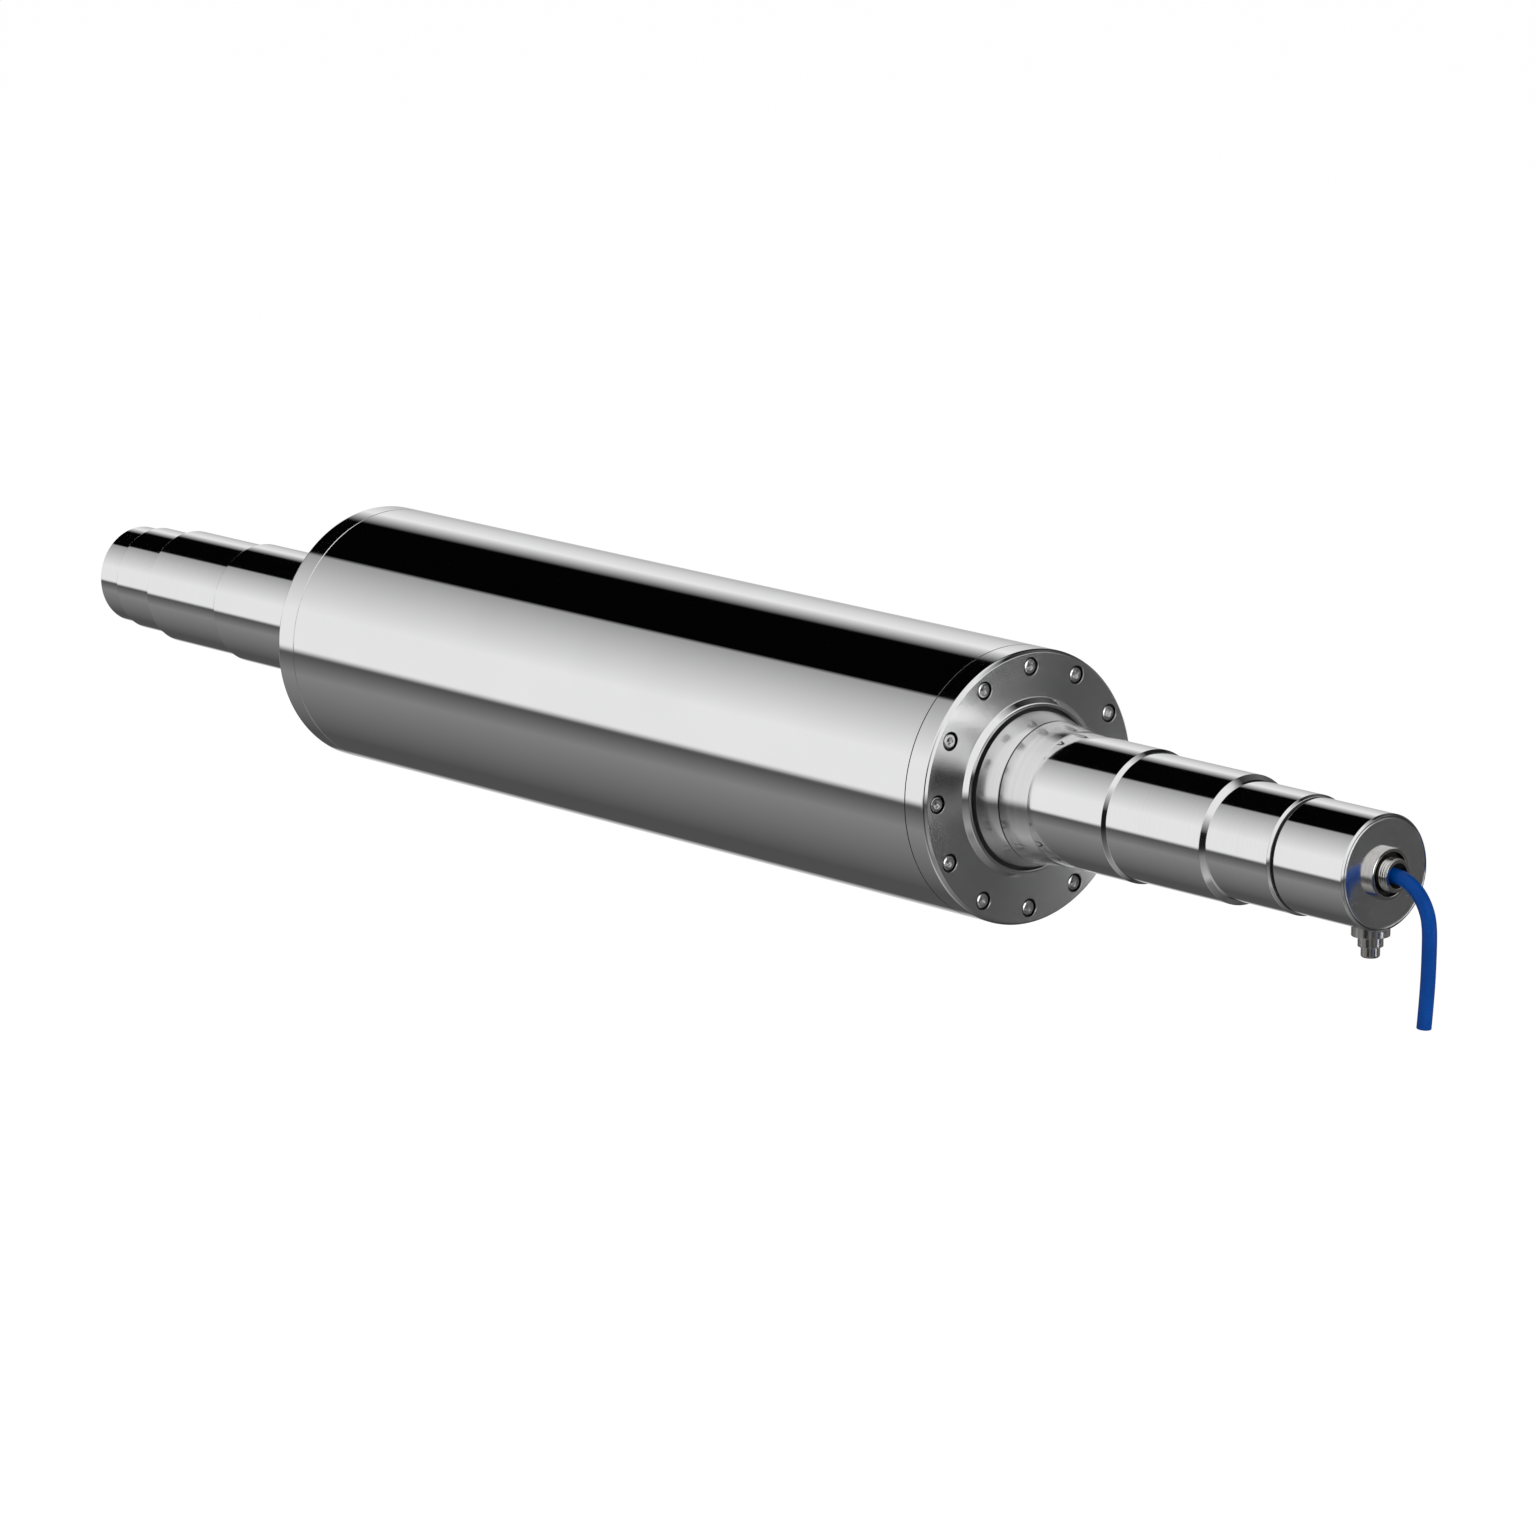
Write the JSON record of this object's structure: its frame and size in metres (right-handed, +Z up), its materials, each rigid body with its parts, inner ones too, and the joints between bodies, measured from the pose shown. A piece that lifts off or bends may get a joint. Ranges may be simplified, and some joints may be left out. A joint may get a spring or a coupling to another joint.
{
  "type": "induction heating roller",
  "caption": "Polished steel roller, heated by an inductor inside it, on stepped journals, with a stationary head, a cable gland and a hanging supply cable at one end.",
  "frame": {"origin": "on the roll's axis, at the middle of the stationary head that a machine's bracket holds", "axes": "+X along the roll's axis, from the roll towards the head's cover and the cable; +Z up; the cable and the sensor socket hang towards -Z"},
  "size_m": [1.8647, 0.25, 0.2517],
  "materials": {
    "shell_chrome": "mirror-polished hard chrome",
    "journal_chrome": "mirror-polished, satin on the collar's taper",
    "flange_steel": "finely turned and polished",
    "screw_steel": "bright",
    "insulating_black": "matt",
    "sensor_steel": "satin",
    "bronze": "machined",
    "bearing_steel": "ground",
    "cage_brass": "machined",
    "spring_steel": "dark, oiled",
    "shaft_steel": "turned",
    "core_steel": "stacked sheet edges",
    "former_board": "woven glass laminate",
    "coil_copper": "enamelled wire",
    "lead_sleeve": "silicone sleeve",
    "ceramic": "unglazed",
    "head_chrome": "mirror-polished",
    "gland_chrome": "plated, fine-turned",
    "seal_rubber": "matt",
    "cable_blue": "smooth, slightly glossy",
    "socket_chrome": "plated"
  },
  "bodies": {
    "stator": {"inductor_shaft": "shaft_steel", "bearing_inner_ring": "bearing_steel", "shaft_clip": "spring_steel", "laminated_core": "core_steel", "far_core_plate": "shaft_steel", "near_core_plate": "shaft_steel", "core_nut": "shaft_steel", "coil_former": "former_board", "far_coil": "coil_copper", "middle_coil": "coil_copper", "near_coil": "coil_copper", "coil_discs": "former_board", "coil_leads": "lead_sleeve", "terminal_block": "ceramic", "head_housing": "head_chrome", "head_nut": "shaft_steel", "end_cover": "head_chrome", "signal_stator_ring": "insulating_black", "gland_body": "gland_chrome", "gland_nut": "gland_chrome", "gland_seal": "seal_rubber", "gland_clamp_ring": "gland_chrome", "supply_cable_tail": "cable_blue", "supply_cable": "cable_blue", "sensor_socket_base": "socket_chrome", "sensor_socket_ring": "socket_chrome", "sensor_socket_cap": "socket_chrome"},
    "roll": {"roll_shell": "shell_chrome", "jacket_plugs": "shaft_steel", "temperature_sensors": "sensor_steel", "near_flange": "flange_steel", "far_flange": "flange_steel", "flange_screws": "screw_steel", "near_insulating_ring": "insulating_black", "far_insulating_ring": "insulating_black", "near_journal": "journal_chrome", "far_journal": "journal_chrome", "far_bush": "bronze", "bearing_outer_ring": "bearing_steel", "journal_clip": "spring_steel", "signal_rotor_ring": "insulating_black"},
    "roller_set": {"bearing_rollers": "bearing_steel", "bearing_cage": "cage_brass"}
  },
  "joints": [
    {"name": "roll_spin", "type": "hinge", "parent": "stator", "child": "roll", "pos_m": [0, 0, 0], "axis": [1, 0, 0], "continuous": true},
    {"name": "roller_set_spin", "type": "hinge", "parent": "stator", "child": "roller_set", "pos_m": [0, 0, 0], "axis": [1, 0, 0], "continuous": true}
  ],
  "couplings": [
    {"joint": "roller_set_spin", "follows": "roll_spin", "ratio": 0.58046}
  ]
}
